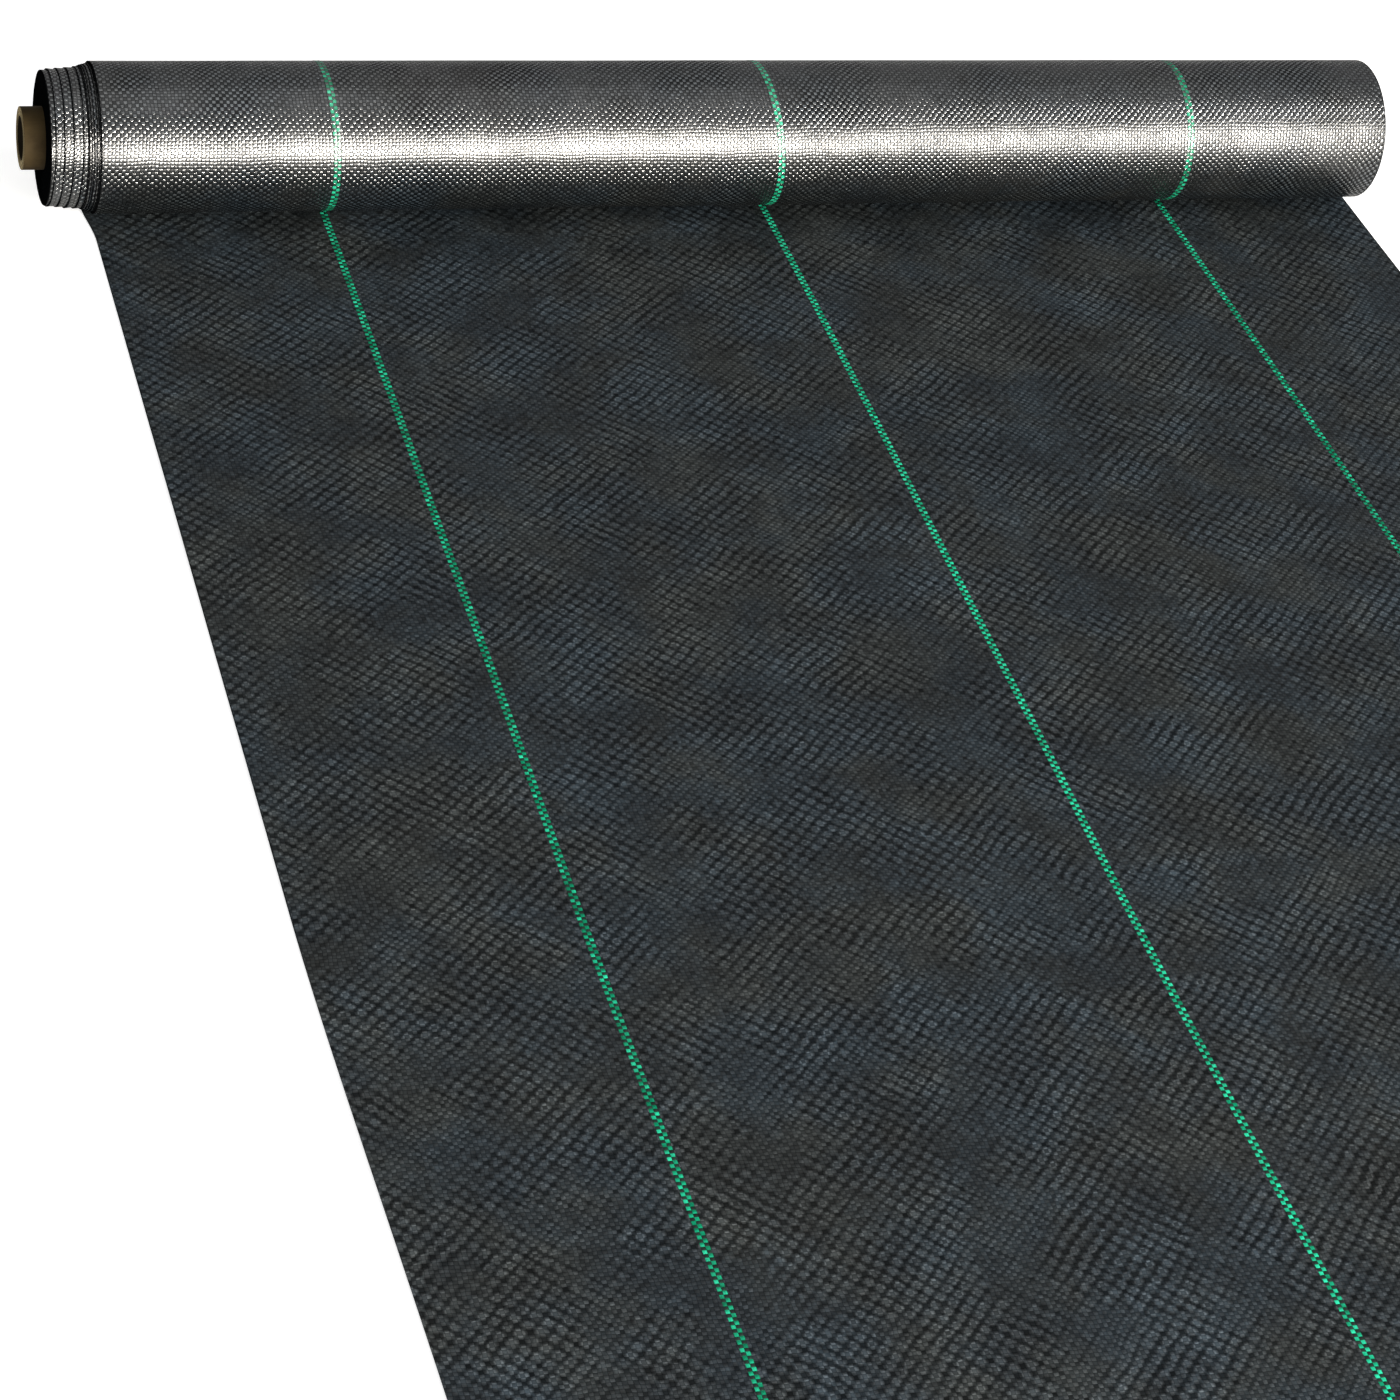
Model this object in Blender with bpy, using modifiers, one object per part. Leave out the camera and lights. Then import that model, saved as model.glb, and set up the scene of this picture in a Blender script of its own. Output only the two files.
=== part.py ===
# A roll of woven weed control fabric, partly unrolled onto the ground.
# X runs along the roll, the sheet is laid out towards -Y, and Z is up. All sizes are in metres.
# The cloth is one length. It is divided where it bends another way and at its three marker lines.

import math

import bmesh
import bpy
from mathutils import Vector

# Cloth
FABRIC_WIDTH = 0.9144
FABRIC_THICKNESS = 0.0004
MARKER_COUNT = 3
MARKER_SPACING = 0.3048
MARKER_WIDTH = 0.0048

# Laid sheet, from the line where the roll touches the ground to the cut end
LAID_LENGTH = 1.2192
LEAD_LENGTH = 0.05
TURN_UP_DEGREES = 40

# Roll
ROLL_RADIUS = 0.0502
OUTER_TURNS = 2
TELESCOPED_TURNS = 5
INNER_TURNS = 17
TELESCOPE_OFFSET = 0.031
LAYER_GAP = 0.00045
POINTS_PER_LOOP = 36
INNER_POINTS_PER_LOOP = 24

# Cardboard core
CORE_RADIUS = 0.0204
CORE_BORE_RADIUS = 0.0143
CORE_LENGTH = 0.9424
CORE_CHAMFER = 0.0006
CORE_SIDES = 48

# Clearance between pieces that meet
JOIN_GAP = 0.0003

# Worked out from the sizes above
LOOP_PITCH = FABRIC_THICKNESS + LAYER_GAP
HALF_THICKNESS = FABRIC_THICKNESS / 2
TURN_UP_ANGLE = math.radians(TURN_UP_DEGREES)
CORE_PROUD = (CORE_LENGTH - FABRIC_WIDTH) / 2
CORE_LEFT = -TELESCOPE_OFFSET - CORE_PROUD
CORE_RIGHT = CORE_LEFT + CORE_LENGTH
WOUND_RADIUS = ROLL_RADIUS - LOOP_PITCH

# The origin is at the middle of the whole object's footprint
MIDDLE_X = (CORE_LEFT + FABRIC_WIDTH) / 2
MIDDLE_Y = (WOUND_RADIUS - LAID_LENGTH) / 2

BLACK_CLOTH = ("black_fabric", (0.03, 0.033, 0.037), 0.45)
GREEN_CLOTH = ("green_marker", (0.01, 0.5, 0.22), 0.45)
CARDBOARD = ("cardboard", (0.42, 0.3, 0.17), 0.85)


def clear_scene():
    for thing in list(bpy.data.objects):
        bpy.data.objects.remove(thing, do_unlink=True)


def make_collection(name):
    collection = bpy.data.collections.new(name)
    bpy.context.scene.collection.children.link(collection)
    return collection


def make_material(look):
    name, colour, roughness = look
    material = bpy.data.materials.get(name)
    if material:
        return material
    material = bpy.data.materials.new(name)
    material.use_nodes = True
    shader = material.node_tree.nodes["Principled BSDF"]
    shader.inputs["Base Color"].default_value = (*colour, 1)
    shader.inputs["Roughness"].default_value = roughness
    shader.inputs["Metallic"].default_value = 0
    return material


def make_empty(name, collection, place, parent=None):
    empty = bpy.data.objects.new(name, None)
    collection.objects.link(empty)
    empty.location = place
    empty.parent = parent
    return empty


def make_object(name, mesh, collection, parent, look):
    thing = bpy.data.objects.new(name, mesh)
    collection.objects.link(thing)
    thing.parent = parent
    mesh.materials.append(make_material(look))
    return thing


def panels_and_markers():
    # The cloth across its width: a panel, a marker line, a panel and so on, from left to right
    first_marker = (FABRIC_WIDTH - (MARKER_COUNT - 1) * MARKER_SPACING) / 2
    strips = []
    left = 0
    for number in range(1, MARKER_COUNT + 1):
        marker_left = first_marker + (number - 1) * MARKER_SPACING - MARKER_WIDTH / 2
        marker_right = marker_left + MARKER_WIDTH
        strips.append((f"panel_{number}", left, marker_left - JOIN_GAP, BLACK_CLOTH))
        strips.append((f"marker_line_{number}", marker_left, marker_right, GREEN_CLOTH))
        left = marker_right + JOIN_GAP
    strips.append((f"panel_{MARKER_COUNT + 1}", left, FABRIC_WIDTH, BLACK_CLOTH))
    return strips


def web_piece(name, path, left, right, collection, parent, look, end_shift=0):
    # A stretch of cloth: its middle line in the YZ plane, drawn out along X, then given its thickness.
    # The edges move along X by end_shift from the first point of the path to the last.
    shape = bmesh.new()
    verts = []
    for number, (y, z) in enumerate(path):
        share = number / (len(path) - 1)
        verts.append(shape.verts.new((left + end_shift * share, y, z)))
    edges = [shape.edges.new(pair) for pair in zip(verts, verts[1:])]
    drawn = bmesh.ops.extrude_edge_only(shape, edges=edges)
    far_verts = [item for item in drawn["geom"] if isinstance(item, bmesh.types.BMVert)]
    bmesh.ops.translate(shape, vec=Vector((right - left, 0, 0)), verts=far_verts)
    bmesh.ops.recalc_face_normals(shape, faces=shape.faces)
    mesh = bpy.data.meshes.new(name)
    shape.to_mesh(mesh)
    shape.free()
    mesh.shade_smooth()
    piece = make_object(name, mesh, collection, parent, look)
    thickness = piece.modifiers.new("thickness", "SOLIDIFY")
    thickness.thickness = FABRIC_THICKNESS
    thickness.offset = 0
    thickness.use_even_offset = True
    return piece


def spiral_path(start_angle, turns, start_radius, end_radius, points_per_loop):
    # Points (y, z) about the roll's axis. Angle 0 is straight down, and it grows towards the back.
    steps = round(turns * points_per_loop)
    path = []
    for step in range(steps + 1):
        share = step / steps
        angle = start_angle + turns * math.tau * share
        radius = start_radius + (end_radius - start_radius) * share
        path.append((radius * math.sin(angle), -radius * math.cos(angle)))
    return path


def distance_to_segment(point, start, end):
    along = end - start
    share = max(0, min(1, (point - start).dot(along) / along.length_squared))
    return (point - start - along * share).length


def print_least_gap(name, path, points_per_loop):
    # The clear space between each point of a winding and the next loop in
    points = [Vector(point) for point in path]
    least = math.inf
    for number, point in enumerate(points):
        first = number + points_per_loop // 2
        for start, end in zip(points[first:], points[first + 1:]):
            least = min(least, distance_to_segment(point, start, end))
    print(f"{name}: least gap to itself {(least - FABRIC_THICKNESS) * 1000:.3f} mm")


def laid_sheet(collection, parent):
    # The sheet on the ground, from the lead to the cut end
    path = [(-LEAD_LENGTH - JOIN_GAP, HALF_THICKNESS), (-LAID_LENGTH, HALF_THICKNESS)]
    for strip, left, right, look in panels_and_markers():
        web_piece(f"laid_{strip}", path, left, right, collection, parent, look)


def turn_up(collection, parent):
    # The short stretch under the roll, where the sheet leaves the ground and bends up behind it
    radius = ROLL_RADIUS - HALF_THICKNESS
    steps = round(TURN_UP_ANGLE / math.tau * POINTS_PER_LOOP)
    path = [(-LEAD_LENGTH, HALF_THICKNESS)]
    for step in range(steps + 1):
        angle = TURN_UP_ANGLE * step / steps
        path.append((radius * math.sin(angle), ROLL_RADIUS - radius * math.cos(angle)))
    for strip, left, right, look in panels_and_markers():
        web_piece(f"turn_up_{strip}", path, left, right, collection, parent, look)


def outer_wraps(collection, parent):
    # The outermost loops, whose edges lie flush. Returns the angle and the radius where they end.
    start_angle = TURN_UP_ANGLE + JOIN_GAP / WOUND_RADIUS
    start_radius = WOUND_RADIUS - HALF_THICKNESS
    end_radius = start_radius - OUTER_TURNS * LOOP_PITCH
    path = spiral_path(start_angle, OUTER_TURNS, start_radius, end_radius, POINTS_PER_LOOP)
    print_least_gap("outer_wraps", path, POINTS_PER_LOOP)
    for strip, left, right, look in panels_and_markers():
        web_piece(f"outer_wraps_{strip}", path, left, right, collection, parent, look)
    return start_angle + OUTER_TURNS * math.tau, end_radius


def telescoped_wraps(collection, parent, start_angle, start_radius):
    # The loops under them, each pushed a little further out of the roll's left end
    start_angle = start_angle + JOIN_GAP / start_radius
    end_radius = start_radius - TELESCOPED_TURNS * LOOP_PITCH
    path = spiral_path(start_angle, TELESCOPED_TURNS, start_radius, end_radius, POINTS_PER_LOOP)
    print_least_gap("telescoped_wraps", path, POINTS_PER_LOOP)
    web_piece("telescoped_wraps", path, 0, FABRIC_WIDTH, collection, parent, BLACK_CLOTH, -TELESCOPE_OFFSET)
    return start_angle + TELESCOPED_TURNS * math.tau, end_radius


def inner_windings(collection, parent, start_angle, start_radius):
    # The loops on the core, flush with each other. Their flats stay clear of the core and of the loops outside.
    flat_share = math.cos(math.pi / INNER_POINTS_PER_LOOP)
    start_angle = start_angle + JOIN_GAP / start_radius
    start_radius = start_radius * flat_share
    end_radius = (CORE_RADIUS + JOIN_GAP + HALF_THICKNESS) / flat_share
    path = spiral_path(start_angle, INNER_TURNS, start_radius, end_radius, INNER_POINTS_PER_LOOP)
    print_least_gap("inner_windings", path, INNER_POINTS_PER_LOOP)
    left = -TELESCOPE_OFFSET
    web_piece("inner_windings", path, left, left + FABRIC_WIDTH, collection, parent, BLACK_CLOTH)


def core(collection, parent):
    # A cardboard tube: half of its section, turned about the roll's axis
    chamfer = CORE_CHAMFER
    outline = [
        (CORE_LEFT + chamfer, CORE_BORE_RADIUS),
        (CORE_RIGHT - chamfer, CORE_BORE_RADIUS),
        (CORE_RIGHT, CORE_BORE_RADIUS + chamfer),
        (CORE_RIGHT, CORE_RADIUS - chamfer),
        (CORE_RIGHT - chamfer, CORE_RADIUS),
        (CORE_LEFT + chamfer, CORE_RADIUS),
        (CORE_LEFT, CORE_RADIUS - chamfer),
        (CORE_LEFT, CORE_BORE_RADIUS + chamfer),
    ]
    shape = bmesh.new()
    verts = [shape.verts.new((x, 0, radius)) for x, radius in outline]
    for number, vert in enumerate(verts):
        shape.edges.new((vert, verts[(number + 1) % len(verts)]))
    mesh = bpy.data.meshes.new("core")
    shape.to_mesh(mesh)
    shape.free()
    tube = make_object("core", mesh, collection, parent, CARDBOARD)
    turn = tube.modifiers.new("turn", "SCREW")
    turn.axis = "X"
    turn.steps = CORE_SIDES
    turn.render_steps = CORE_SIDES
    turn.use_merge_vertices = True
    turn.merge_threshold = 0.00005
    turn.use_smooth_shade = True
    return tube


def build():
    clear_scene()
    collection = make_collection("roll_of_weed_control_fabric")
    ground = make_empty("ground_frame", collection, (-MIDDLE_X, -MIDDLE_Y, 0))
    laid_sheet(collection, ground)
    carriage = make_empty("roll_travel_frame", collection, (0, 0, 0), ground)
    turn_up(collection, carriage)
    roll_axis = make_empty("roll_turn_axis", collection, (0, 0, ROLL_RADIUS), carriage)
    angle, radius = outer_wraps(collection, roll_axis)
    angle, radius = telescoped_wraps(collection, roll_axis, angle, radius)
    slide_axis = make_empty("telescope_slide_axis", collection, (0, 0, 0), roll_axis)
    inner_windings(collection, slide_axis, angle, radius)
    core(collection, slide_axis)
    bpy.context.view_layer.update()
    print(f"roll axis at y {-MIDDLE_Y:.6f} m, z {ROLL_RADIUS:.6f} m; fabric's left edge at x {-MIDDLE_X:.6f} m")


build()
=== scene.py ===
import math

import bpy
import numpy as np
from mathutils import Matrix, Vector


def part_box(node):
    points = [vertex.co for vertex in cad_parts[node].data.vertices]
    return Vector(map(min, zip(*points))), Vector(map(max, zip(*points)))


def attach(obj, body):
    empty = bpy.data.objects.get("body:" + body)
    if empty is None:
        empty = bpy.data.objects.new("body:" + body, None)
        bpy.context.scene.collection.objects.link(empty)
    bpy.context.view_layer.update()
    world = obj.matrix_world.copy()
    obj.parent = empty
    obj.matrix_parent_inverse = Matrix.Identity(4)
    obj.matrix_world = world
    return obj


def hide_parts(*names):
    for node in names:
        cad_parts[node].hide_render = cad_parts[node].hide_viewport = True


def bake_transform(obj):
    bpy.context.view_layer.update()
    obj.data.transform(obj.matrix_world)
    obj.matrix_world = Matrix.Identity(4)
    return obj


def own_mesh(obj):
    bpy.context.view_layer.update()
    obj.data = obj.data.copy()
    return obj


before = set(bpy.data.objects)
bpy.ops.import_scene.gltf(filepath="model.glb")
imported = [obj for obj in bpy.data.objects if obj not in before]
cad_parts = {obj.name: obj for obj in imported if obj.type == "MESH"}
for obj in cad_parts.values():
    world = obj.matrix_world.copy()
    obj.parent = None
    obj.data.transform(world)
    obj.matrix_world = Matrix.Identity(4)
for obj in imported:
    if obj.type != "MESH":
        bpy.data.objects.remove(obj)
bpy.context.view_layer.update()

# A roll of woven weed control fabric, partly unrolled. X runs along the roll, the sheet lies towards -Y.
# Flat places on the cloth are (across, along): across from its left edge, along from where the roll touches
# the ground, below zero on the laid sheet and above zero up and round the roll.

cloth = {
    "width": 0.9144,
    "thickness": 0.0004,
    "tape": 0.0024,                                   # pitch of the woven tapes
    "markers": (0.1524, 0.4572, 0.762),               # middles of the green lines
    "markerWidth": 0.0048,                            # two green tapes
    "edgeX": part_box("laid_panel_1")[0].x,
    "cutY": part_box("laid_panel_1")[0].y,
    "leadLength": 0.05,
    "relief": 0.00012,                                # crown of a green tape between two crossings
    "panelWidth": 0.3,                                # about what lies between two green lines
}
cloth["touchY"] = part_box("turn_up_panel_1")[0].y + cloth["leadLength"]
cloth["laidLength"] = cloth["touchY"] - cloth["cutY"]
cloth["flatLength"] = cloth["laidLength"] - cloth["leadLength"]

roll = {
    "radius": 0.0502,                                 # of the turn-up, and the height of the axis
    "woundRadius": 0.04935,                           # of what turns
    "layerPitch": 0.00047,
    "outerTurns": 8,
    "telescopedTurns": 4,
    "stackSlant": 0.008,                              # how far the lowest of the outer wraps stands out
    "pushedOut": 0.031,                               # how far the inner windings stand out at the left
    "turnUpAngle": math.radians(40),
    "lap": 0.12,                                      # angle of the wraps that the turn-up's end covers
    "coreRadius": 0.0204,
    "coreGap": 0.0003,                                # between the core and the innermost turn
    "turnsLeftOut": 0.5,                              # next to the core
    "lumps": 0.0001,                                  # how uneven the wound cloth is
    "pointsPerTurn": 72,
    "innerPointsPerTurn": 60,
}

laidSheet = {
    "waves": 0.0002,
    "steps": 118,                                     # of its mesh along the sheet
    "perPanel": 28,                                   # faces across a panel
    "travel": 1.1,                                    # how far the roll can come over it
}

turnUpBend = {
    "pressed": 0.00062,                               # how far its end is pressed onto the wraps
    "thinnedFrom": 0.6,                               # share of the arc where it starts to thin
    "thinnedBy": 0.85,
    "flatSteps": 9,
    "arcSteps": 21,
}

wraps = {
    "perPanel": 7,
    "startThickness": 0.1,                            # share of the cloth's, at the start of the wraps
    "unevenEdge": 0.0003,
    "unevenSteps": 0.0004,                            # edges of the telescoped and inner turns
    "curl": 0.0005,                                   # how far the edges of the steps curl up
    "curlWidth": 0.0045,
    "curlPlaces": (0, 0.0008, 0.0018, 0.003, 0.0045),
    "stepColumns": 22,
    "edgeColumn": 0.02,                               # outermost column of the inner windings' mesh
}

drift = {                                             # how far the cloth strays sideways
    "nearRoll": 0.0085,
    "nearCut": -0.003,
    "behind": -0.013,
    "overTop": 0.011,
    "edgeFlare": -0.0045,
    "edgeDrawnIn": 0.010,
}


def smooth(low, high, value):
    share = np.clip((value - low) / (high - low), 0, 1)
    return share * share * (3 - 2 * share)


def lineDrift(across, along):
    # The cloth isn't wound quite straight, so its middle wanders sideways near the roll and on it
    inside = smooth(0, 0.12, across) * smooth(0, 0.12, cloth["width"] - across)
    uneven = 0.35 + 0.65 * np.exp(-((across - cloth["markers"][1]) / 0.2) ** 2)
    onSheet = drift["nearRoll"] * smooth(-0.75, 0, along) + drift["nearCut"] * smooth(-0.55, -0.85, along)
    turn = along / roll["woundRadius"]                # angle from straight down, up behind the roll
    onRoll = drift["behind"] * smooth(0.2, 2.6, turn) + drift["overTop"] * smooth(2.9, 5.6, turn)
    return inside * uneven * (onSheet + onRoll)


def edgeDrift(across, along):
    # The left edge flares where it leaves the roll, and draws in towards the cut end
    nearEdge = np.exp(-(across / 0.045) ** 2)
    flare = drift["edgeFlare"] * smooth(-0.045, 0, along) * smooth(0.028, 0, along)
    drawnIn = drift["edgeDrawnIn"] * smooth(-0.70, -1.15, along)
    return nearEdge * flare + np.exp(-(across / 0.11) ** 2) * drawnIn


def laidSurface(across, along):
    # Gentle waves, which die out at the roll so that the sheet meets the turn-up flush
    waves = (np.sin(across * 31 + 0.7 * np.sin(along * 9)) * np.sin(along * 17 + across * 5)
             + 0.6 * np.sin(across * 13 - along * 23) + 0.5 * np.sin(across * 47 + along * 11))
    lift = laidSheet["waves"] * (waves + 2.1) * smooth(0, 0.2, -along - cloth["leadLength"])
    return np.stack([cloth["edgeX"] + across + lineDrift(across, along) + edgeDrift(across, along),
                     cloth["touchY"] + along,
                     cloth["thickness"] / 2 + lift], -1)


def turnUpSurface(across, along):
    # Flat up to the line of touch, then round the roll. Its end is pressed onto the wraps.
    radius = roll["radius"] - cloth["thickness"] / 2
    angle = np.maximum(along, 0) / radius
    pressed = turnUpBend["pressed"] * smooth(0.5, 0.97, angle / roll["turnUpAngle"])
    return np.stack([cloth["edgeX"] + across + lineDrift(across, along) + edgeDrift(across, along),
                     cloth["touchY"] + np.minimum(along, 0) + (radius - pressed) * np.sin(angle),
                     roll["radius"] - (radius - pressed) * np.cos(angle)], -1)


def woundSurface(shiftOf, edgeLift=0.0):
    # A spiral towards the core. shiftOf gives how far the cloth stands out to the left at an angle, and
    # edgeLift how far its left edge curls up.
    def place(across, angle):
        radius = (roll["woundRadius"] - cloth["thickness"] / 2
                  - roll["layerPitch"] * (angle - roll["turnUpAngle"]) / math.tau)
        lumps = roll["lumps"] * np.sin(across * 34 + angle) * np.sin(angle * 3 + across * 9)
        along = angle * roll["woundRadius"]
        x = cloth["edgeX"] + across + shiftOf(angle) + lineDrift(across, along)
        curl = edgeLift * smooth(wraps["curlWidth"], 0, across)
        curl = curl * (0.6 + 0.4 * np.sin(angle * 2.3) * np.sin(angle * 5.1 + 1))
        reach = radius + lumps + curl
        return np.stack([x,
                         cloth["touchY"] + reach * np.sin(angle),
                         roll["radius"] - reach * np.cos(angle)], -1)
    return place


def sheetMesh(name, strips, steps, surface, alongOf=lambda step: step, thin=None, relief=None):
    # A thin closed solid of cloth. Each strip is a list of places across, and steps run along. A UV map keeps
    # the flat place of every corner, in metres, for the weave.
    verts, faces, flat = [], [], []
    for acrossList in strips:
        across, step = np.meshgrid(acrossList, steps)
        middle = surface(across, step)
        byAcross = np.gradient(middle, axis=1)
        byStep = np.gradient(middle, axis=0)
        normal = np.cross(byAcross, byStep)
        normal /= np.linalg.norm(normal, axis=2)[..., None]
        half = np.full(across.shape, cloth["thickness"] / 2)
        if thin is not None:
            half = half * thin(step)
        if relief is not None:
            half = half + relief(across, step)
        rows, columns = across.shape
        start = sum(len(part) for part in verts)
        verts.append((middle + normal * half[..., None]).reshape(-1, 3))
        verts.append((middle - normal * half[..., None]).reshape(-1, 3))
        flatPlace = np.stack([across, alongOf(step)], -1).reshape(-1, 2)
        flat += [flatPlace, flatPlace]
        top = start + np.arange(rows * columns).reshape(rows, columns)
        under = top + rows * columns
        quads = [
            (top[:-1, :-1], top[:-1, 1:], top[1:, 1:], top[1:, :-1]),
            (under[:-1, :-1], under[1:, :-1], under[1:, 1:], under[:-1, 1:]),
            (top[:-1, 0], top[1:, 0], under[1:, 0], under[:-1, 0]),
            (top[1:, -1], top[:-1, -1], under[:-1, -1], under[1:, -1]),
            (top[0, 1:], top[0, :-1], under[0, :-1], under[0, 1:]),
            (top[-1, :-1], top[-1, 1:], under[-1, 1:], under[-1, :-1]),
        ]
        faces += [np.stack([corner.ravel() for corner in quad], 1) for quad in quads]
    verts, faces, flat = np.concatenate(verts), np.concatenate(faces), np.concatenate(flat)
    mesh = bpy.data.meshes.new(name)
    mesh.from_pydata(verts.tolist(), [], faces.tolist())
    flatMap = mesh.uv_layers.new(name="flatCloth")
    flatMap.uv.foreach_set("vector", flat[faces.ravel()].astype(np.float32).ravel())
    piece = bpy.data.objects.new(name, mesh)
    bpy.context.scene.collection.objects.link(piece)
    bpy.ops.object.select_all(action="DESELECT")
    piece.select_set(True)
    bpy.context.view_layer.objects.active = piece
    bpy.ops.object.shade_smooth_by_angle(angle=math.radians(50))
    return piece


def newMaterial(name):
    material = bpy.data.materials.new(name)
    material.use_nodes = True
    return material, material.node_tree, material.node_tree.nodes["Principled BSDF"]


def put(tree, kind, values=None, **settings):
    # Adds a node. values fills its sockets, by name or number, with numbers or with other nodes' outputs.
    node = tree.nodes.new(kind)
    for setting, value in settings.items():
        setattr(node, setting, value)
    for socket, value in (values or {}).items():
        if isinstance(value, bpy.types.NodeSocket):
            tree.links.new(value, node.inputs[socket])
        else:
            node.inputs[socket].default_value = value
    return node


def calc(tree, operation, *values):
    return put(tree, "ShaderNodeMath", dict(enumerate(values)), operation=operation).outputs[0]


def product(tree, value, *factors):
    for factor in factors:
        value = calc(tree, "MULTIPLY", value, factor)
    return value


def remap(tree, value, low, high, newLow=0.0, newHigh=1.0, kind="SMOOTHSTEP"):
    values = {"Value": value, "From Min": low, "From Max": high, "To Min": newLow, "To Max": newHigh}
    return put(tree, "ShaderNodeMapRange", values, interpolation_type=kind).outputs[0]


def noise(tree, place, scale, detail, roughness=0.5, dimensions="2D"):
    values = {"Vector": place, "Scale": scale, "Detail": detail, "Roughness": roughness}
    return put(tree, "ShaderNodeTexNoise", values, noise_dimensions=dimensions).outputs


def vectorMath(tree, operation, *values):
    return put(tree, "ShaderNodeVectorMath", dict(enumerate(values)), operation=operation).outputs[0]


def scaled(tree, vector, factor):
    return put(tree, "ShaderNodeVectorMath", {0: vector, "Scale": factor}, operation="SCALE").outputs[0]


def parts(tree, vector):
    return put(tree, "ShaderNodeSeparateXYZ", {0: vector}).outputs


def blendColours(tree, share, first, second, way="MIX"):
    node = put(tree, "ShaderNodeMix", {0: share}, data_type="RGBA", blend_type=way)
    for socket, value in ((6, first), (7, second)):
        if isinstance(value, bpy.types.NodeSocket):
            tree.links.new(value, node.inputs[socket])
        else:
            node.inputs[socket].default_value = (*value, 1)
    return node.outputs[2]


def newGroup(name, inputs, outputs):
    tree = bpy.data.node_groups.new(name, "ShaderNodeTree")
    for label, kind, value in inputs:
        socket = tree.interface.new_socket(label, in_out="INPUT", socket_type=kind)
        if value is not None:
            socket.default_value = value
    for label, kind in outputs:
        tree.interface.new_socket(label, in_out="OUTPUT", socket_type=kind)
    return tree, tree.nodes.new("NodeGroupInput"), tree.nodes.new("NodeGroupOutput")


grain = {                                             # noise over the cloth, in waves to the metre
    "wander": 24.0,                                   # of the tapes from their straight places
    "uneven": 55.0,                                   # in how the tapes pair up
    "slant": 19.0,
    "beads": 170.0,
    "patches": 17.0,
    "dust": 9.0,
    "hue": 14.0,
    "weftFrom": 1917.3,                               # weft tapes are numbered from here
}


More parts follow.
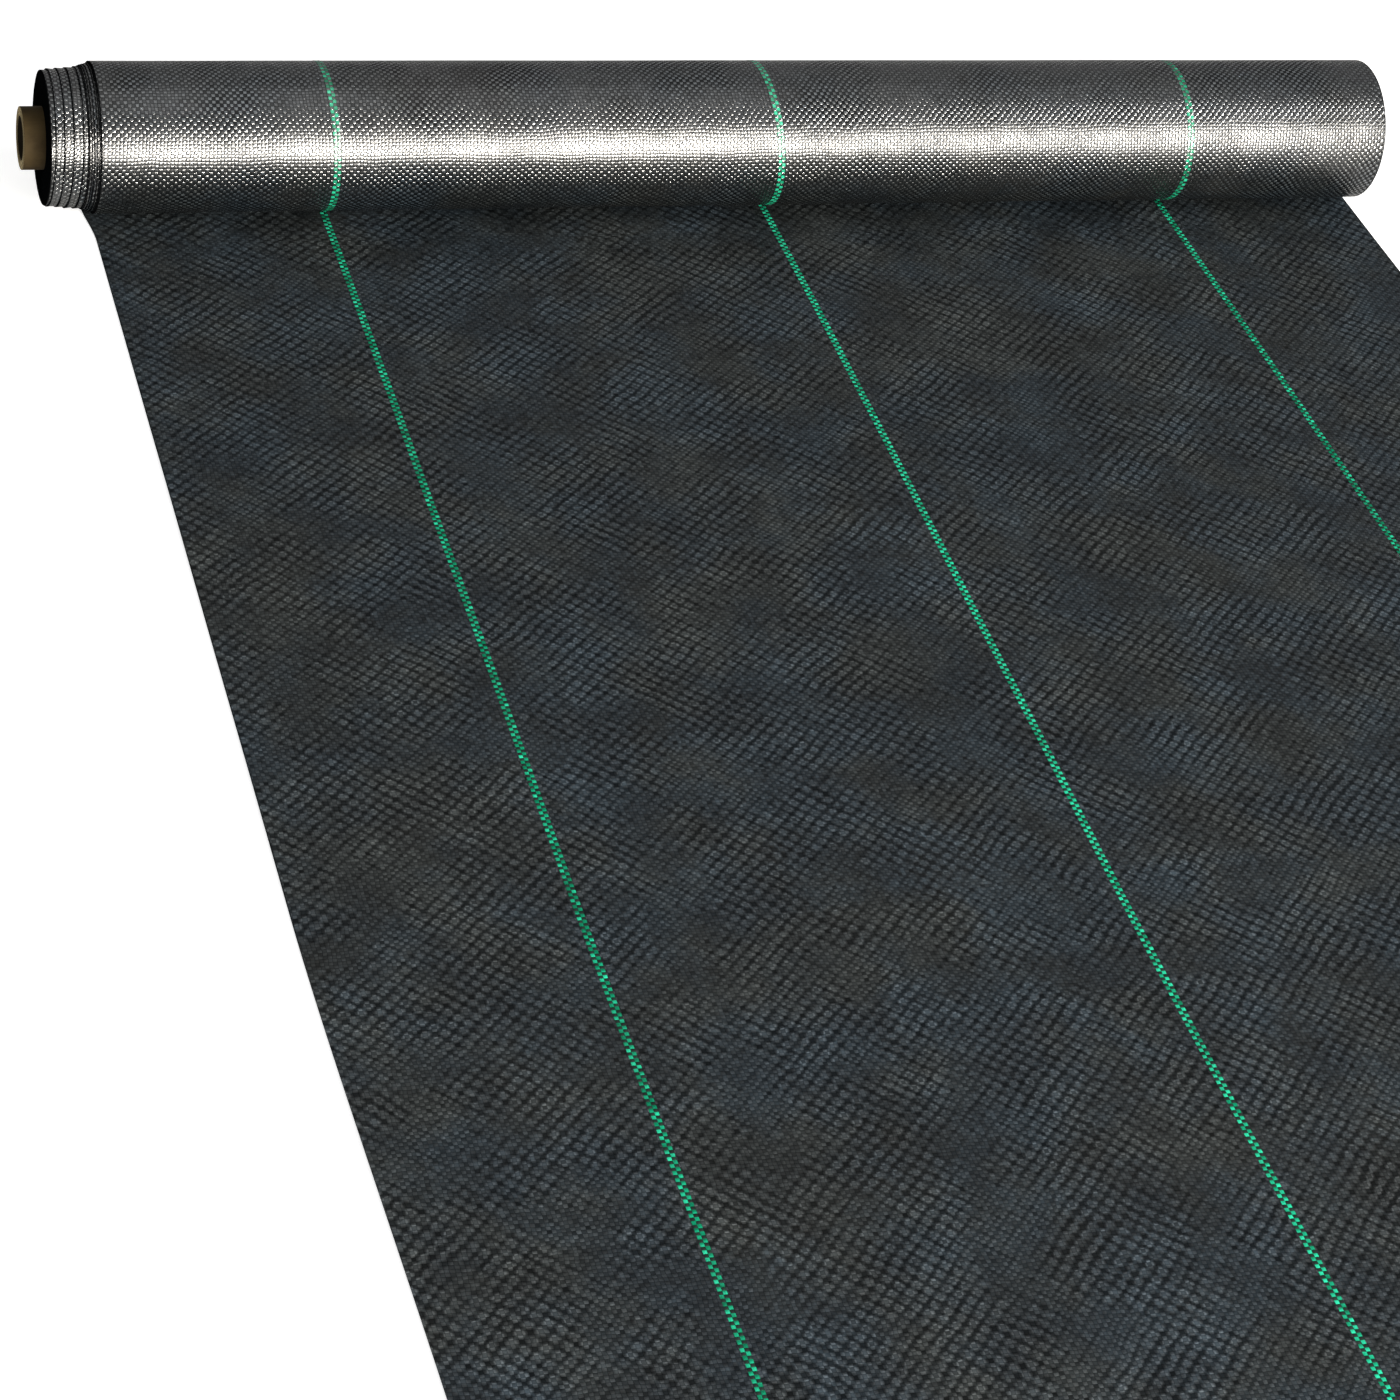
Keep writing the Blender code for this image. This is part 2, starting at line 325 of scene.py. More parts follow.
def buildTapeWeave():
    # Plain weave of flat tapes. Place is the flat place on the cloth, in metres.
    tree, given, result = newGroup(
        "tapeWeave",
        [("Place", "NodeSocketVector", None), ("Tape", "NodeSocketFloat", cloth["tape"]),
         ("Wander", "NodeSocketFloat", 0.3)],
        [("WarpOver", "NodeSocketFloat"), ("Height", "NodeSocketFloat"), ("Groove", "NodeSocketFloat"),
         ("TapeTone", "NodeSocketFloat"), ("Streak", "NodeSocketFloat"), ("Crown", "NodeSocketFloat"),
         ("Rows", "NodeSocketFloat")])
    place = given.outputs["Place"]
    wander = noise(tree, place, grain["wander"], 3.0, 0.55)["Color"]
    off = scaled(tree, vectorMath(tree, "SUBTRACT", wander, (0.5, 0.5, 0.5)), given.outputs["Wander"])
    tapes = vectorMath(tree, "DIVIDE", place, given.outputs["Tape"])
    tapes = vectorMath(tree, "ADD", vectorMath(tree, "ADD", tapes, off), (0.5, 0, 0))
    split = parts(tree, tapes)
    warp, weft = calc(tree, "FLOOR", split[0]), calc(tree, "FLOOR", split[1])
    inWarp = calc(tree, "SUBTRACT", calc(tree, "FRACT", split[0]), 0.5)
    inWeft = calc(tree, "SUBTRACT", calc(tree, "FRACT", split[1]), 0.5)
    odd = calc(tree, "FLOORED_MODULO", calc(tree, "ADD", warp, weft), 2.0)
    warpOver = calc(tree, "SUBTRACT", 1.0, odd)
    across = remap(tree, warpOver, 0.0, 1.0, inWeft, inWarp, "LINEAR")
    along = remap(tree, warpOver, 0.0, 1.0, inWarp, inWeft, "LINEAR")
    side = calc(tree, "ABSOLUTE", across)
    crown = calc(tree, "COSINE", calc(tree, "MULTIPLY", along, math.pi))
    rounded = calc(tree, "MULTIPLY_ADD", calc(tree, "MULTIPLY", side, side), -3.0, 1.0)
    shoulder = calc(tree, "MULTIPLY", remap(tree, side, 0.5, 0.30), rounded)
    height = product(tree, crown, shoulder, remap(tree, warpOver, 0.0, 1.0, 1.0, 0.3, "LINEAR"))
    number = remap(tree, warpOver, 0.0, 1.0, calc(tree, "ADD", weft, grain["weftFrom"]), warp, "LINEAR")
    fixed = put(tree, "ShaderNodeTexWhiteNoise", {"W": number}, noise_dimensions="1D").outputs["Value"]
    run = remap(tree, warpOver, 0.0, 1.0, split[0], split[1], "LINEAR")
    slow = put(tree, "ShaderNodeCombineXYZ", {0: calc(tree, "MULTIPLY", number, 7.31),
                                              1: calc(tree, "MULTIPLY", run, 0.35)}).outputs[0]
    changing = noise(tree, slow, 1.0, 1.0)["Fac"]
    tone = calc(tree, "MULTIPLY_ADD", fixed, 0.15, calc(tree, "MULTIPLY_ADD", changing, 1.1, -0.12))
    fine = put(tree, "ShaderNodeCombineXYZ", {0: calc(tree, "MULTIPLY_ADD", across, 9.0, number),
                                              1: calc(tree, "MULTIPLY", run, 0.7)}).outputs[0]
    streak = noise(tree, fine, 1.0, 2.0)["Fac"]
    height = calc(tree, "MULTIPLY_ADD", streak, 0.12, height)
    # On the ground crossings stand out two by two, like beads in a chequer. How slanted and deep its rows are
    # changes over the cloth.
    uneven = noise(tree, place, grain["uneven"], 2.0)["Color"]
    pairs = parts(tree, vectorMath(tree, "MULTIPLY_ADD", uneven, (0.9, 0.9, 0), tapes))
    slant = parts(tree, noise(tree, place, grain["slant"], 2.0)["Color"])
    slopes = [calc(tree, way, pairs[0], pairs[1]) for way in ("ADD", "SUBTRACT")]
    rightward, leftward = (calc(tree, "COSINE", product(tree, slope, math.pi / 2)) for slope in slopes)
    rows = remap(tree, slant[0], -0.3, 1.3, rightward, leftward, "LINEAR")
    beads = noise(tree, place, grain["beads"], 1.0)["Fac"]
    rows = product(tree, rows, remap(tree, beads, 0.3, 0.7, 0.25, 2.2, "LINEAR"),
                   remap(tree, slant[1], 0.35, 0.65, 0.3, 1.9))
    rows = calc(tree, "MAXIMUM", calc(tree, "MINIMUM", rows, 1.0), -1.0)
    outputs = {"WarpOver": warpOver, "Height": calc(tree, "MULTIPLY", height, given.outputs["Tape"]),
               "Groove": remap(tree, side, 0.37, 0.49), "TapeTone": tone, "Streak": streak, "Crown": crown,
               "Rows": rows}
    for label, value in outputs.items():
        tree.links.new(value, result.inputs[label])
    return tree


def buildMottle():
    # Slow changes over the cloth: patches of painted sheen, where the tapes catch the light, and a film of
    # dust
    tree, given, result = newGroup(
        "clothMottle", [("Place", "NodeSocketVector", None)],
        [("Patches", "NodeSocketFloat"), ("Dust", "NodeSocketFloat"), ("Hue", "NodeSocketFloat"),
         ("SelvedgeAndShade", "NodeSocketFloat")])
    place = given.outputs["Place"]
    patches = noise(tree, place, grain["patches"], 4.0, 0.65, "3D")["Fac"]
    dust = noise(tree, place, grain["dust"], 6.0, 0.7, "3D")["Fac"]
    tree.links.new(remap(tree, patches, 0.3, 0.7), result.inputs["Patches"])
    tree.links.new(remap(tree, dust, 0.48, 0.8), result.inputs["Dust"])
    hue = parts(tree, noise(tree, place, grain["hue"], 4.0, 0.6, "3D")["Color"])[1]
    tree.links.new(remap(tree, hue, 0.35, 0.65), result.inputs["Hue"])
    # Within a millimetre of the cut edges, and on the end faces of the wound cloth, the cloth is painted near
    # black: partly its own darker cut edge, partly painted shade along each step and on the roll's ends
    across = parts(tree, place)[0]
    inFrom = calc(tree, "MINIMUM", across, calc(tree, "SUBTRACT", cloth["width"], across))
    tree.links.new(remap(tree, inFrom, 0.0010, 0.0004), result.inputs["SelvedgeAndShade"])
    return tree


tapeWeave = buildTapeWeave()
clothMottle = buildMottle()

clothLook = {
    # In patches that catch the light the weft is painted lighter, a painted sheen, and the warp darker,
    # painted shade; elsewhere the two are nearly alike
    "warp": (0.0024, 0.0034, 0.0042),
    "warpWithoutSheen": (0.0100, 0.0132, 0.0152),
    "weft": (0.050, 0.0610, 0.0665),
    "weftWithoutSheen": (0.0120, 0.0155, 0.0176),
    "warm": (1.08, 1.0, 0.92),                        # tints that wander over the cloth
    "cool": (0.88, 1.0, 1.14),
    # painted shade, for the gaps between the tapes and the cut edges
    "grooveShade": (0.0015, 0.0016, 0.0018),
    "dust": (0.060, 0.054, 0.046),
    "green": (0.006, 0.42, 0.21),
    "greenLight": (0.025, 0.60, 0.34),
    "greenShade": (0.003, 0.22, 0.11),
    "betweenGreen": (0.006, 0.022, 0.016),
}


def clothMaterial(name, onGround=False, green=False, gloss=0.95, glossRoughness=0.17,
                  glossIndex=2.2, paintedLightness=1.0, crownHeight=0.085, paired=0.0):
    material, tree, shader = newMaterial(name)
    if onGround:
        objectPlace = put(tree, "ShaderNodeTexCoord").outputs["Object"]
        place = vectorMath(tree, "ADD", objectPlace, (-cloth["edgeX"], -cloth["touchY"], 0))
    else:
        place = put(tree, "ShaderNodeUVMap", uv_map="flatCloth").outputs[0]
    weave = put(tree, "ShaderNodeGroup", node_tree=tapeWeave)
    tree.links.new(place, weave.inputs["Place"])
    weave.inputs["Wander"].default_value = 0.0 if green else 2.0
    mottle = put(tree, "ShaderNodeGroup", node_tree=clothMottle)
    tree.links.new(place, mottle.inputs["Place"])
    weave, mottle = weave.outputs, mottle.outputs
    weftOver = calc(tree, "SUBTRACT", 1.0, weave["WarpOver"])
    middle = calc(tree, "SUBTRACT", 1.0, calc(tree, "MAXIMUM", weave["Groove"], mottle["SelvedgeAndShade"]))
    standOut = calc(tree, "EXPONENT", calc(tree, "MULTIPLY", weave["Rows"], 0.8 * paired))
    if green:
        over = remap(tree, weave["TapeTone"], 0.3, 0.7)
        over = blendColours(tree, over, clothLook["green"], clothLook["greenLight"])
        under = blendColours(tree, weave["Groove"], clothLook["betweenGreen"], clothLook["greenShade"])
        over = blendColours(tree, remap(tree, weave["Groove"], 0.55, 1.0), over, clothLook["greenShade"])
        colour = blendColours(tree, weave["WarpOver"], under, over)
        shade = remap(tree, weave["Crown"], 0.0, 0.4, 0.6, 1.0, "LINEAR")
    else:
        # Painted sheen: where the patches catch the light the weft tapes are painted lighter and the warp
        # darker
        weft = blendColours(tree, mottle["Patches"], clothLook["weftWithoutSheen"], clothLook["weft"])
        warp = blendColours(tree, mottle["Patches"], clothLook["warpWithoutSheen"], clothLook["warp"])
        warpShare = remap(tree, weave["WarpOver"], 0.0, 1.0, paired / 2, 1 - paired / 2, "LINEAR")
        colour = blendColours(tree, warpShare, weft, warp)
        tint = blendColours(tree, mottle["Hue"], clothLook["warm"], clothLook["cool"])
        colour = blendColours(tree, 1.0, colour, tint, way="MULTIPLY")
        shade = remap(tree, weave["Crown"], 0.0, 0.6, 0.35 + 0.55 * paired, 1.0, "LINEAR")
        shade = product(tree, shade, standOut)
    tone = remap(tree, weave["TapeTone"], 0.25, 0.75, 0.55, 1.45, "LINEAR")
    tone = product(tree, tone, remap(tree, mottle["Patches"], 0.0, 1.0, 0.9, 1.1, "LINEAR"),
                   remap(tree, weave["Streak"], 0.3, 0.7, 0.8, 1.2, "LINEAR"), shade, paintedLightness)
    dustShare = product(tree, mottle["Dust"], 0.12)
    dusty = blendColours(tree, dustShare, scaled(tree, colour, tone), clothLook["dust"])
    if not green:
        # Painted shade: the gaps between the tapes, and the cut edges, are painted near black
        grooveShadeShare = product(tree, calc(tree, "SUBTRACT", 1.0, middle), 0.92 - 0.65 * paired)
        dusty = blendColours(tree, grooveShadeShare, dusty, clothLook["grooveShade"])
    tree.links.new(dusty, shader.inputs["Base Color"])
    rough = remap(tree, weave["WarpOver"], 0.0, 1.0, 0.34, 0.14, "LINEAR")
    rough = calc(tree, "MULTIPLY_ADD", weave["TapeTone"], 0.10, rough)
    rough = calc(tree, "MULTIPLY_ADD", weave["Groove"], 0.3, rough)
    tree.links.new(rough, shader.inputs["Roughness"])
    # Weft tapes shine most, less where they dive under the next tape
    warpShine = remap(tree, mottle["Patches"], 0.0, 1.0, 0.68, 0.15, "LINEAR")
    shine = product(tree, remap(tree, weftOver, 0.0, 1.0, warpShine, 1.0, "LINEAR"), middle,
                    remap(tree, weave["TapeTone"], 0.25, 0.75, 0.7, 1.0, "LINEAR"),
                    remap(tree, weave["Crown"], 0.0, 0.35, 0.4 + 0.4 * paired, 1.0, "LINEAR"),
                    calc(tree, "MULTIPLY_ADD", mottle["Dust"], -0.5 * gloss, gloss), standOut)
    tree.links.new(calc(tree, "MINIMUM", shine, 1.0), shader.inputs["Coat Weight"])
    shader.inputs["Coat Roughness"].default_value = glossRoughness
    shader.inputs["Coat IOR"].default_value = glossIndex
    shader.inputs["Specular IOR Level"].default_value = 0.0
    height = calc(tree, "MULTIPLY_ADD", weave["Rows"], 1.2 * paired * cloth["tape"], weave["Height"])
    bump = put(tree, "ShaderNodeBump", {"Height": height, "Strength": 1.0, "Distance": crownHeight})
    tree.links.new(bump.outputs[0], shader.inputs["Normal"])
    tree.links.new(bump.outputs[0], shader.inputs["Coat Normal"])
    return material


# The cloth and green tapes on the roll and its steps are painted darker than the same cloth on the ground, a
# painted shade against the strong front lamps on the roll: lit and shaded copies of one cloth
laidFinish = {"gloss": 0.31, "glossRoughness": 0.5, "paintedLightness": 0.86, "crownHeight": 0.05, "paired": 0.8}
laidBlack = clothMaterial("blackClothOnGround", onGround=True, **laidFinish)
turnUpBlack = clothMaterial("blackClothTurningUp", **laidFinish)
rollBlack = clothMaterial("blackClothOnRoll", glossRoughness=0.25, glossIndex=2.6, paintedLightness=0.4)
stepBlack = clothMaterial("blackClothOnSteps", gloss=1.0, glossRoughness=0.24, glossIndex=2.8,
                          paintedLightness=0.5, crownHeight=0.12)
greenLine = clothMaterial("greenMarkerTapes", green=True, glossRoughness=0.27, glossIndex=2.8,
                          paintedLightness=0.42)
greenLaid = clothMaterial("greenMarkerTapesOnGround", green=True, gloss=0.25, glossRoughness=0.5,
                          paintedLightness=0.7)
print("cloth materials made")


def blackStrips(perPanel):
    # Where the cloth is black: left, between and right of the green lines, with the places across each
    half = cloth["markerWidth"] / 2
    lefts = [0.0] + [middle + half for middle in cloth["markers"]]
    rights = [middle - half for middle in cloth["markers"]] + [cloth["width"]]
    strips = []
    for left, right in zip(lefts, rights):
        count = max(2, round(perPanel * (right - left) / cloth["panelWidth"]))
        strips.append(np.linspace(left, right, count + 1))
    return strips


tapeShares = np.array([0, 0.18, 0.5, 0.82, 1, 1.18, 1.5, 1.82, 2])   # columns of a green line, in tapes


def markerAcross(middle):
    return middle - cloth["markerWidth"] / 2 + tapeShares * cloth["tape"]


def halfTapes(low, high):
    # Places along the cloth, two to a tape, so that each crossing of a green tape gets its crown
    first, last = math.ceil(low / (cloth["tape"] / 2)), math.floor(high / (cloth["tape"] / 2))
    inside = np.arange(first, last + 1) * cloth["tape"] / 2
    return np.concatenate([[low], inside[(inside > low + 1e-6) & (inside < high - 1e-6)], [high]])


def crowns(across, along):
    # How far each visible piece of tape bulges between its crossings
    inWarp = np.sin(math.pi * (across / cloth["tape"] + 0.5)) ** 2
    inWeft = np.sin(math.pi * along / cloth["tape"]) ** 2
    return cloth["relief"] * np.sqrt(inWarp * inWeft)


def dress(piece, material):
    piece.data.materials.append(material)


def stretchOfCloth(name, node, steps, lineSteps, surface, perPanel, alongOf=lambda step: step, thin=None,
                   black=rollBlack, greenTapes=greenLine):
    # One stretch of the cloth: its black part as one piece, and its three green lines
    main = sheetMesh(name, blackStrips(perPanel), steps, surface, alongOf, thin)
    dress(main, black)
    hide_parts(*[f"{node}_panel_{number}" for number in (1, 2, 3, 4)])
    lines = []
    for number, middle in enumerate(cloth["markers"], 1):
        line = sheetMesh(f"{name}_green_line_{number}", [markerAcross(middle)], lineSteps, surface, alongOf,
                         thin, relief=lambda across, step: crowns(across, alongOf(step)))
        dress(line, greenTapes)
        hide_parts(f"{node}_marker_line_{number}")
        lines.append(line)
    return main, lines


# Laid sheet
laid, laidLines = stretchOfCloth(
    "laid_cloth", "laid", np.linspace(-cloth["laidLength"], -cloth["leadLength"], laidSheet["steps"]),
    halfTapes(-cloth["laidLength"], -cloth["leadLength"]), laidSurface, laidSheet["perPanel"],
    black=laidBlack, greenTapes=greenLaid)
for piece in (laid, *laidLines):
    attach(piece, "laid_sheet")
    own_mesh(piece)
print("laid sheet made")

# Turn-up
arcLength = roll["turnUpAngle"] * (roll["radius"] - cloth["thickness"] / 2)
turnUpSteps = np.concatenate([np.linspace(-cloth["leadLength"], 0, turnUpBend["flatSteps"]),
                              np.linspace(0, arcLength, turnUpBend["arcSteps"])[1:]])


def turnUpThin(along):
    return 1 - turnUpBend["thinnedBy"] * smooth(turnUpBend["thinnedFrom"], 1.0, along / arcLength)


turnUp, turnUpLines = stretchOfCloth(
    "turn_up_cloth", "turn_up", turnUpSteps, halfTapes(-cloth["leadLength"], arcLength), turnUpSurface,
    laidSheet["perPanel"], thin=turnUpThin, black=turnUpBlack, greenTapes=greenLaid)
for piece in (turnUp, *turnUpLines):
    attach(piece, "turn_up")
print("turn-up made")

# Wound cloth
firstAngle = roll["turnUpAngle"] - roll["lap"]
outerEnd = roll["turnUpAngle"] + roll["outerTurns"] * math.tau
telescopedEnd = outerEnd + roll["telescopedTurns"] * math.tau
lastRadius = roll["coreRadius"] + roll["coreGap"]
allTurns = (roll["woundRadius"] - lastRadius) / roll["layerPitch"]
innerTurns = allTurns - roll["outerTurns"] - roll["telescopedTurns"] - roll["turnsLeftOut"]
innerEnd = telescopedEnd + innerTurns * math.tau


def alongRoll(angle):
    return angle * roll["woundRadius"]


def angles(start, end, perTurn):
    return np.linspace(start, end, round((end - start) / math.tau * perTurn) + 1)


def jitter(angle, size):
    # Each turn's edge lies a little further in or out than the next one's
    return size * (np.sin(angle * 0.37) + np.sin(angle * 0.83 + 1) + 0.6 * np.sin(angle * 1.71 + 2)) / 2.6


def outerShift(angle):
    uneven = jitter(angle, wraps["unevenEdge"]) * smooth(4, 9, angle)
    return uneven - roll["stackSlant"] * smooth(6, outerEnd, angle)


def telescopedShift(angle):
    share = (angle - outerEnd) / (telescopedEnd - outerEnd)
    stepped = -roll["stackSlant"] - (roll["pushedOut"] - roll["stackSlant"]) * share
    return stepped + jitter(angle, wraps["unevenSteps"])


def innerShift(angle):
    return -roll["pushedOut"] + jitter(angle, wraps["unevenSteps"])


def outerThin(angle):
    start = wraps["startThickness"]
    return start + (1 - start) * smooth(firstAngle, firstAngle + roll["lap"], angle)


# The green lines' tapes get their crowns on the outermost turn, the only one that shows
secondTurn = firstAngle + math.tau
outerLineSteps = np.concatenate([halfTapes(alongRoll(firstAngle), alongRoll(secondTurn)) / roll["woundRadius"],
                                 angles(secondTurn, outerEnd, roll["pointsPerTurn"])[1:]])
outer, outerLines = stretchOfCloth(
    "outer_wraps_cloth", "outer_wraps", angles(firstAngle, outerEnd, roll["pointsPerTurn"]),
    outerLineSteps, woundSurface(outerShift), wraps["perPanel"], alongOf=alongRoll, thin=outerThin)
for piece in (outer, *outerLines):
    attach(piece, "wound_roll")
print("outer wraps made")

stepPlaces = np.concatenate([wraps["curlPlaces"], np.linspace(0.012, cloth["width"], wraps["stepColumns"])])
telescoped = sheetMesh("telescoped_wraps_cloth", [stepPlaces],
                       angles(outerEnd, telescopedEnd, roll["pointsPerTurn"]),
                       woundSurface(telescopedShift, edgeLift=wraps["curl"]), alongRoll)
dress(telescoped, stepBlack)
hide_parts("telescoped_wraps")
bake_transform(telescoped)
innerPlaces = np.array([0, wraps["edgeColumn"], cloth["width"] / 2, cloth["width"] - wraps["edgeColumn"],
                        cloth["width"]])
inner = sheetMesh("inner_windings_cloth", [innerPlaces],
                  angles(telescopedEnd, innerEnd, roll["innerPointsPerTurn"]),
                  woundSurface(innerShift), alongRoll)
dress(inner, rollBlack)
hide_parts("inner_windings")
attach(inner, "core_and_windings")
print("wound cloth made")

# Core: a spiral-wound board tube. Its ends show the plies.
core = {
    "low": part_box("core")[0],
    "high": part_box("core")[1],
    "boreRadius": 0.0143,
    "plies": (0.0007, 0.0010, 0.0009, 0.0011, 0.0010, 0.0008, 0.0006),
    "plySteps": (-0.00025, 0.0002, -0.00015, 0.00025, -0.0002, 0.00015, -0.0003),
    "stepWidth": 0.00012,                             # of the slope between two plies
    "rimRound": 0.0003,
    "seamPitch": 0.105,
}
bpy.ops.object.select_all(action="DESELECT")
bpy.ops.mesh.primitive_cylinder_add(vertices=128, radius=(core["high"].z - core["low"].z) / 2,
                                    depth=core["high"].x - core["low"].x, rotation=(0, math.pi / 2, 0),
                                    location=(core["low"] + core["high"]) / 2)
coreTube = bpy.context.object
coreTube.name = "core_tube"
bpy.ops.object.transform_apply(location=True, rotation=True, scale=True)
bpy.ops.object.mode_set(mode="EDIT")
bpy.ops.mesh.select_mode(type="FACE")
bpy.ops.mesh.select_all(action="DESELECT")
bpy.ops.object.mode_set(mode="OBJECT")
for face in coreTube.data.polygons:
    face.select = abs(face.normal.x) > 0.9
bpy.ops.object.mode_set(mode="EDIT")
for ply, step in zip(core["plies"], core["plySteps"]):
    bpy.ops.mesh.inset(thickness=core["stepWidth"], depth=step)
    bpy.ops.mesh.inset(thickness=ply - core["stepWidth"], depth=0)
bpy.ops.mesh.bridge_edge_loops()
bpy.ops.object.mode_set(mode="OBJECT")
rim = coreTube.modifiers.new("rim", "BEVEL")
rim.width, rim.segments, rim.limit_method, rim.angle_limit = core["rimRound"], 2, "ANGLE", math.radians(70)
bpy.ops.object.modifier_apply(modifier="rim")
bpy.ops.object.shade_smooth_by_angle(angle=math.radians(40))

coreLook = {
    # The tube's board is painted far darker than the kraft at its ends, a painted shade for the shade the tube
    # lies in; its stains, fibres and seam are its own
    "board": (0.041, 0.028, 0.011),
    "boardDark": (0.021, 0.013, 0.0045),
    "endPly": (0.42, 0.34, 0.18),
    "endPlyDark": (0.20, 0.15, 0.07),
    "boreShade": (0.008, 0.0055, 0.002),
    "seam": (0.03, 0.018, 0.008),
    "fibreGrain": (40, 900, 900),                     # noise in the board, in waves to the metre
    "stainGrain": 45.0,
    "plyGrain": 1600.0,
}


def boardMaterial():
    material, tree, shader = newMaterial("kraftBoard")
    place = put(tree, "ShaderNodeTexCoord").outputs["Object"]
    centred = vectorMath(tree, "ADD", place, (0, -cloth["touchY"], -roll["radius"]))
    split = parts(tree, centred)
    angle = calc(tree, "ARCTAN2", split[2], split[1])
    radius = calc(tree, "SQRT", calc(tree, "MULTIPLY_ADD", split[1], split[1],
                                     calc(tree, "MULTIPLY", split[2], split[2])))
    turn = calc(tree, "MULTIPLY_ADD", angle, 1 / math.tau, calc(tree, "DIVIDE", split[0], core["seamPitch"]))
    seamSide = calc(tree, "ABSOLUTE", calc(tree, "SUBTRACT", calc(tree, "FRACT", turn), 0.5))
    seam = remap(tree, seamSide, 0.012, 0.002)
    stretched = put(tree, "ShaderNodeMapping", {"Vector": centred, "Scale": coreLook["fibreGrain"]}).outputs[0]
    fibres = noise(tree, stretched, 1.0, 4.0, 0.65, "3D")["Fac"]
    stains = noise(tree, centred, coreLook["stainGrain"], 4.0, 0.6, "3D")["Fac"]
    outward = product(tree, radius, coreLook["plyGrain"])
    plies = put(tree, "ShaderNodeTexNoise", {"W": outward, "Scale": 1.0, "Detail": 1.0},
                noise_dimensions="1D").outputs[0]
    normal = put(tree, "ShaderNodeNewGeometry").outputs["True Normal"]
    endFace = calc(tree, "ABSOLUTE", parts(tree, normal)[0])
    # Painted shade: the tube's outside is painted darker than its ends
    board = blendColours(tree, remap(tree, stains, 0.35, 0.7), coreLook["board"], coreLook["boardDark"])
    fibreShare = product(tree, remap(tree, fibres, 0.5, 0.75), 0.45)
    board = blendColours(tree, fibreShare, board, coreLook["boardDark"])
    board = blendColours(tree, product(tree, seam, 0.8), board, coreLook["seam"])
    # The bore is painted near black: painted shade inside the tube
    inBoreShade = remap(tree, radius, core["boreRadius"] + 0.0008, core["boreRadius"] + 0.0004)
    board = blendColours(tree, inBoreShade, board, coreLook["boreShade"])
    ends = blendColours(tree, remap(tree, plies, 0.42, 0.62), coreLook["endPly"], coreLook["endPlyDark"])
    colour = blendColours(tree, remap(tree, endFace, 0.5, 0.9), board, ends)
    tree.links.new(colour, shader.inputs["Base Color"])
    height = calc(tree, "MULTIPLY_ADD", fibres, 0.00012, calc(tree, "MULTIPLY", seam, -0.0004))
    bump = put(tree, "ShaderNodeBump", {"Height": height, "Strength": 1.0, "Distance": 1.0})
    tree.links.new(bump.outputs[0], shader.inputs["Normal"])
    tree.links.new(calc(tree, "MULTIPLY_ADD", stains, 0.2, 0.65), shader.inputs["Roughness"])
    shader.inputs["Specular IOR Level"].default_value = 0.1
    return material


dress(coreTube, boardMaterial())
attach(coreTube, "core_and_windings")
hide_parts("core")
print("core made")

# Floor, light and camera
stage = {
    "floorSize": 14,
    "floor": 0.86,
    "floorHeight": -0.0002,
    "floorGlow": 0.62,                                # seen by the camera only, so that it comes out white
    "glowFrom": 1.6,                                  # distances between which it rises to 1
    "glowTo": 3.6,
    "world": 0.20,
    "mirrored": 0.45,                                 # how light the surroundings are in shiny things
}
bpy.ops.mesh.primitive_plane_add(size=stage["floorSize"], location=(0, 0, stage["floorHeight"]))
floor = bpy.context.object
floor.name = "floor"
bpy.ops.object.transform_apply(location=True, rotation=True, scale=True)
material, tree, shader = newMaterial("paleFloor")
shader.inputs["Base Color"].default_value = (stage["floor"],) * 3 + (1,)
shader.inputs["Roughness"].default_value = 0.9
shader.inputs["Specular IOR Level"].default_value = 0.1
shader.inputs["Emission Color"].default_value = (1, 1, 1, 1)
rays = put(tree, "ShaderNodeLightPath").outputs
fromMiddle = put(tree, "ShaderNodeVectorMath", {0: put(tree, "ShaderNodeTexCoord").outputs["Object"]},
                 operation="LENGTH").outputs["Value"]
glow = remap(tree, fromMiddle, stage["glowFrom"], stage["glowTo"], stage["floorGlow"], 1.0)
tree.links.new(calc(tree, "MULTIPLY", rays["Is Camera Ray"], glow), shader.inputs["Emission Strength"])
floor.data.materials.append(material)

world = bpy.data.worlds.new("world")
bpy.context.scene.world = world
world.use_nodes = True
tree = world.node_tree
rays = put(tree, "ShaderNodeLightPath").outputs
seen = calc(tree, "MAXIMUM", rays["Is Camera Ray"], rays["Is Transmission Ray"])
strength = remap(tree, rays["Is Glossy Ray"], 0.0, 1.0, stage["world"], stage["mirrored"], "LINEAR")
strength = remap(tree, seen, 0.0, 1.0, strength, 1.0, "LINEAR")
tree.links.new(strength, tree.nodes["Background"].inputs["Strength"])
tree.nodes["Background"].inputs["Color"].default_value = (1, 1, 1, 1)

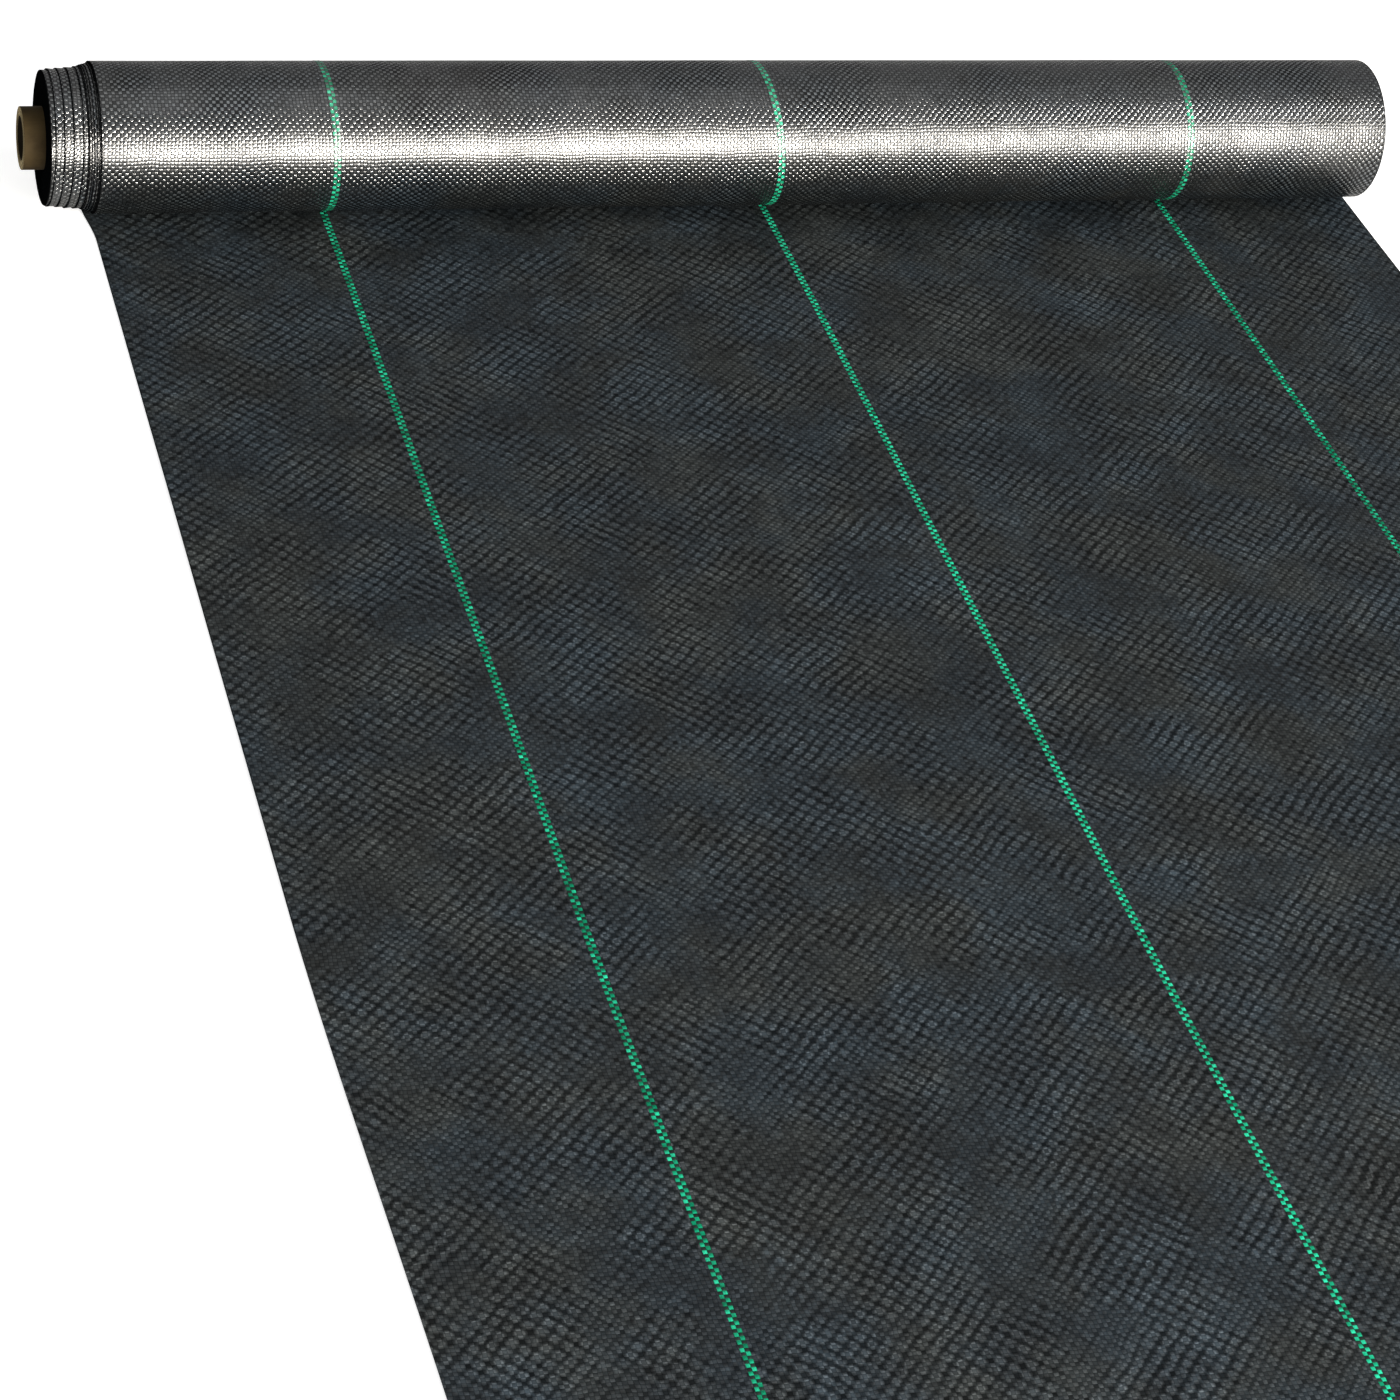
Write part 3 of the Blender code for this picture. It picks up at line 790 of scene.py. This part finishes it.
lamps = {                                             # place, aimed at, size, power, turned, colour
    "lowFront": ((0.50, -4.31, 0.33), (0.0, 0.585, 0.05), (1.9, 0.50), 330, 11, (1.0, 0.95, 0.87)),
    "highFront": ((2.10, -4.31, 1.60), (0.0, 0.585, 0.05), (3.2, 0.44), 500, 48, (1.0, 0.95, 0.87)),
    "side": ((3.6, -0.6, 2.4), (0.0, 0.3, 0.0), (0.9, 0.9), 80, 0, (1.0, 1.0, 1.0)),
    "left": ((-3.2, -1.6, 1.4), (-0.45, 0.585, 0.05), (1.2, 1.2), 42, 0, (1.0, 1.0, 1.0)),
    "overhead": ((0.1, 0.2, 3.0), (0.0, 0.2, 0), (2.4, 2.4), 10, 0, (1.0, 1.0, 1.0)),
}
for name, (place, target, size, power, turned, colour) in lamps.items():
    lamp = bpy.data.lights.new(name, "AREA")
    lamp.shape, lamp.energy, lamp.color = "RECTANGLE", power, colour
    lamp.size, lamp.size_y = size
    holder = bpy.data.objects.new(name, lamp)
    bpy.context.scene.collection.objects.link(holder)
    aim = (Vector(target) - Vector(place)).to_track_quat("-Z", "Y").to_matrix().to_4x4()
    holder.matrix_world = Matrix.Translation(place) @ aim @ Matrix.Rotation(math.radians(turned), 4, "Z")

view = {
    "place": Vector((-0.8062, -1.5097, 1.2619)),
    "yaw": 22.47,
    "down": 37.05,
    "roll": -10.76,
    "lens": 94.61,
    "sensor": 36,
    "near": 0.05,
    "far": 50,
}
yaw, down, lean = (math.radians(view[key]) for key in ("yaw", "down", "roll"))
forward = Vector((math.sin(yaw) * math.cos(down), math.cos(yaw) * math.cos(down), -math.sin(down)))
level = Vector((math.cos(yaw), -math.sin(yaw), 0))
right = math.cos(lean) * level + math.sin(lean) * forward.cross(level)
lens = bpy.data.cameras.new("camera")
lens.lens, lens.sensor_width = view["lens"], view["sensor"]
lens.clip_start, lens.clip_end = view["near"], view["far"]
camera = bpy.data.objects.new("camera", lens)
bpy.context.scene.collection.objects.link(camera)
camera.matrix_world = Matrix.Translation(view["place"]) @ Matrix(
    (right, -forward.cross(right), -forward)).transposed().to_4x4()
bpy.context.scene.camera = camera
bpy.context.scene.view_settings.view_transform = "Standard"
print("floor, light and camera set")
